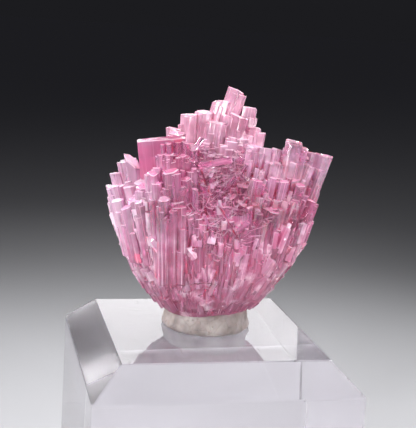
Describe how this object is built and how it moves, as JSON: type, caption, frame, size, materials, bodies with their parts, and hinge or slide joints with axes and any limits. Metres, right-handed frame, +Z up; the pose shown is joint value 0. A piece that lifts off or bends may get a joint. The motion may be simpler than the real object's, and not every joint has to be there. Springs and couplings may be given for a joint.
{
  "type": "mineral specimen on an acrylic base",
  "caption": "Fan-shaped cluster of pink tourmaline crystals, stuck with putty to a clear bevelled acrylic block.",
  "frame": {"origin": "centre of the acrylic block's underside", "axes": "+Z up; -Y towards the side that the picture shows; +X to the right of that side"},
  "size_m": [0.032, 0.032, 0.0595],
  "materials": {
    "tourmaline": "natural crystal faces",
    "putty": "soft, matte",
    "acrylic": "polished"
  },
  "bodies": {
    "root": {"acrylic_base": "acrylic", "putty_disc": "putty", "tourmaline_cluster": "tourmaline"}
  },
  "joints": []
}
